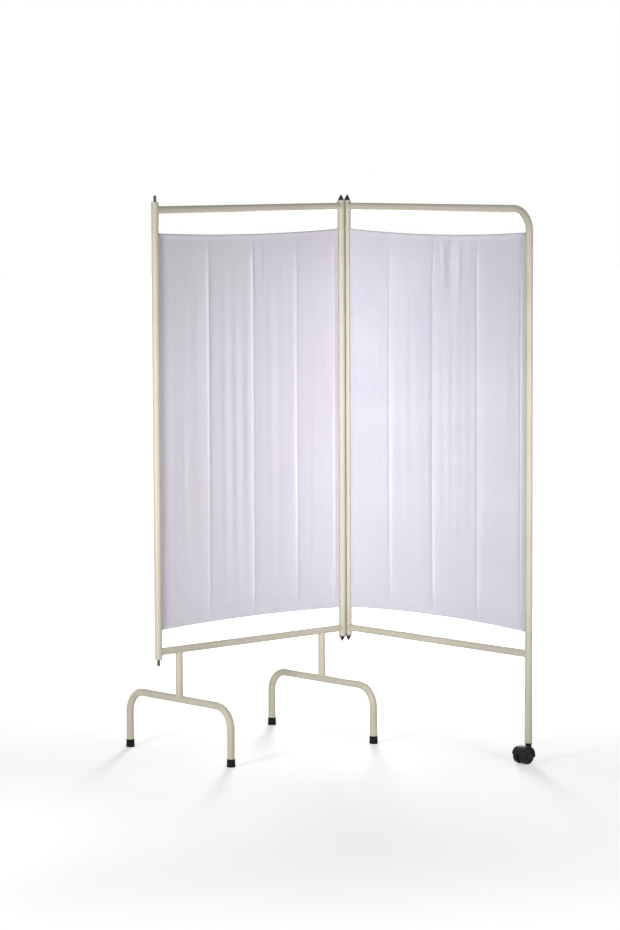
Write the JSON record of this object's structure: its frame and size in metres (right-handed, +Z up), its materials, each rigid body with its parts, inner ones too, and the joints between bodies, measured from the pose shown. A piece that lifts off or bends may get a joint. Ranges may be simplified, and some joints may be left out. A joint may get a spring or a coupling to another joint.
{
  "type": "folding ward privacy screen",
  "caption": "Folding privacy screen of bent steel tube with stretched cloth panels, bow feet with rubber tips, a double-pivot hinge and a swivel caster.",
  "frame": {"origin": "on the floor, under the middle of the whole screen's box, with the screen folded square", "axes": "+Z up. The footed panel stands along X with its free upright towards -X and its feet along Y. The wing panel runs from the hinge towards -Y."},
  "size_m": [0.7922, 1.0628, 1.6878],
  "materials": {
    "cream_paint": "satin powder coat",
    "white_cloth": "plain woven cotton, pressed",
    "black_rubber": "matte",
    "black_plastic": "moulded, slightly glossy",
    "zinc_steel": "zinc plated",
    "white_vinyl": "smooth vinyl sleeve"
  },
  "bodies": {
    "footed_frame": {"footed_hinge_upright": "cream_paint", "footed_outer_upright": "cream_paint", "footed_top_rail": "cream_paint", "footed_bottom_rail": "cream_paint", "outer_drop_post": "cream_paint", "hinge_drop_post": "cream_paint", "outer_foot_bow": "cream_paint", "hinge_foot_bow": "cream_paint", "outer_front_rubber_tip": "black_rubber", "outer_back_rubber_tip": "black_rubber", "hinge_front_rubber_tip": "black_rubber", "hinge_back_rubber_tip": "black_rubber", "footed_top_plug": "zinc_steel", "footed_bottom_plug": "zinc_steel", "footed_top_pivot_pin": "zinc_steel", "footed_bottom_pivot_pin": "zinc_steel", "footed_top_cone_cap": "black_plastic", "footed_bottom_cone_cap": "black_plastic", "free_top_plug": "zinc_steel", "free_bottom_plug": "zinc_steel", "free_top_pin": "zinc_steel", "free_bottom_pin": "zinc_steel", "footed_curtain": "white_cloth", "footed_top_wire": "white_vinyl", "footed_bottom_wire": "white_vinyl", "footed_top_inner_hook": "zinc_steel", "footed_top_outer_hook": "zinc_steel", "footed_bottom_inner_hook": "zinc_steel", "footed_bottom_outer_hook": "zinc_steel"},
    "hinge_links": {"top_hinge_link": "zinc_steel", "bottom_hinge_link": "zinc_steel"},
    "wing_frame": {"wing_hinge_upright": "cream_paint", "wing_bow": "cream_paint", "wing_bottom_rail": "cream_paint", "wing_top_plug": "zinc_steel", "wing_bottom_plug": "zinc_steel", "wing_top_pivot_pin": "zinc_steel", "wing_bottom_pivot_pin": "zinc_steel", "wing_top_cone_cap": "black_plastic", "wing_bottom_cone_cap": "black_plastic", "wing_curtain": "white_cloth", "wing_top_wire": "white_vinyl", "wing_bottom_wire": "white_vinyl", "wing_top_inner_hook": "zinc_steel", "wing_top_outer_hook": "zinc_steel", "wing_bottom_inner_hook": "zinc_steel", "wing_bottom_outer_hook": "zinc_steel", "caster_socket": "black_plastic"},
    "caster_yoke": {"caster_stem": "zinc_steel", "caster_grip_ring": "zinc_steel", "caster_hood": "black_plastic", "caster_axle": "zinc_steel"},
    "front_wheel": {"caster_front_wheel": "black_plastic"},
    "back_wheel": {"caster_back_wheel": "black_plastic"}
  },
  "joints": [
    {"name": "footed_pivot", "type": "hinge", "parent": "footed_frame", "child": "hinge_links", "pos_m": [0.36186, 0.28219, 0.986], "axis": [0, 0, 1], "range_deg": [-82, 98]},
    {"name": "wing_pivot", "type": "hinge", "parent": "hinge_links", "child": "wing_frame", "pos_m": [0.38514, 0.27892, 0.986], "axis": [0, 0, 1], "range_deg": [-8, 172]},
    {"name": "caster_swivel", "type": "hinge", "parent": "wing_frame", "child": "caster_yoke", "pos_m": [0.38514, -0.50909, 0.058], "axis": [0, 0, 1], "continuous": true},
    {"name": "front_wheel_spin", "type": "hinge", "parent": "caster_yoke", "child": "front_wheel", "pos_m": [0.36414, -0.50909, 0.025], "axis": [0, 1, 0], "continuous": true},
    {"name": "back_wheel_spin", "type": "hinge", "parent": "caster_yoke", "child": "back_wheel", "pos_m": [0.36414, -0.50909, 0.025], "axis": [0, 1, 0], "continuous": true}
  ]
}
